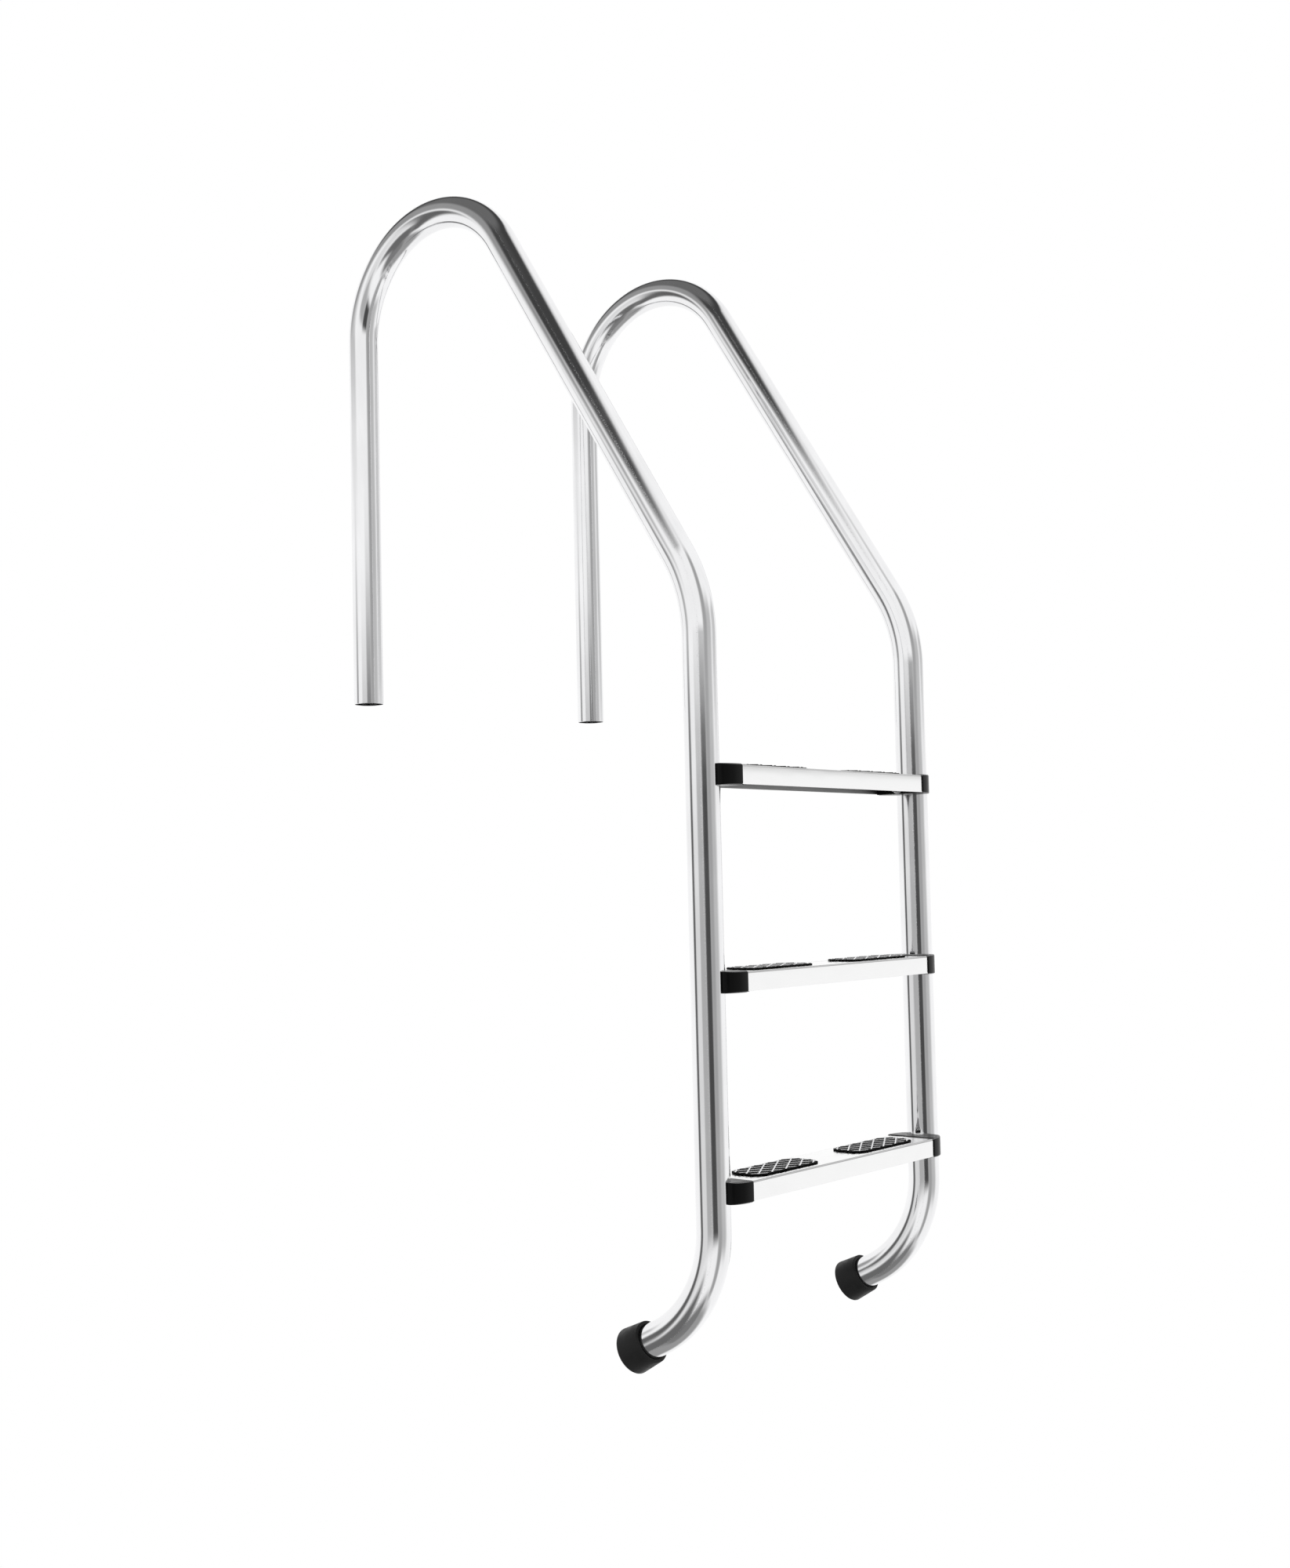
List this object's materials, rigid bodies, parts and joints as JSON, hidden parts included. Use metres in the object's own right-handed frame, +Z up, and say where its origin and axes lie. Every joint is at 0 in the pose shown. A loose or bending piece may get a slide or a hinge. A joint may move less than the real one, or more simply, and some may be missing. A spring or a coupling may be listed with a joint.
{
  "type": "pool ladder",
  "caption": "In-ground swimming pool ladder: bent stainless tube rails with arched hand holds, folded steel treads, black end caps, diamond-pattern pads and rubber feet.",
  "frame": {"origin": "midway between the centres of the cut lower ends of the two anchor legs", "axes": "+Z up, +Y away from the pool over the deck, -Y over the water toward the treads, +X along the treads to the right rail"},
  "size_m": [0.548, 0.6587, 1.5732],
  "materials": {
    "rail_steel": "bright polished stainless steel tube with fine lengthwise grain",
    "tread_steel": "polished stainless sheet",
    "cap_plastic": "satin-gloss black",
    "pad_plastic": "black with a raised light grey diamond lattice",
    "fastener_steel": "plain stainless fasteners",
    "foot_rubber": "matte black"
  },
  "bodies": {
    "root": {"left_rail": "rail_steel", "left_foot": "foot_rubber", "right_rail": "rail_steel", "right_foot": "foot_rubber", "top_tread": "tread_steel", "top_left_pad": "pad_plastic", "top_left_cap": "cap_plastic", "top_left_bolt": "fastener_steel", "top_left_washer": "fastener_steel", "top_left_rail_insert": "fastener_steel", "top_right_pad": "pad_plastic", "top_right_cap": "cap_plastic", "top_right_bolt": "fastener_steel", "top_right_washer": "fastener_steel", "top_right_rail_insert": "fastener_steel", "middle_tread": "tread_steel", "middle_left_pad": "pad_plastic", "middle_left_cap": "cap_plastic", "middle_left_bolt": "fastener_steel", "middle_left_washer": "fastener_steel", "middle_left_rail_insert": "fastener_steel", "middle_right_pad": "pad_plastic", "middle_right_cap": "cap_plastic", "middle_right_bolt": "fastener_steel", "middle_right_washer": "fastener_steel", "middle_right_rail_insert": "fastener_steel", "bottom_tread": "tread_steel", "bottom_left_pad": "pad_plastic", "bottom_left_cap": "cap_plastic", "bottom_left_bolt": "fastener_steel", "bottom_left_washer": "fastener_steel", "bottom_left_rail_insert": "fastener_steel", "bottom_right_pad": "pad_plastic", "bottom_right_cap": "cap_plastic", "bottom_right_bolt": "fastener_steel", "bottom_right_washer": "fastener_steel", "bottom_right_rail_insert": "fastener_steel"}
  },
  "joints": []
}
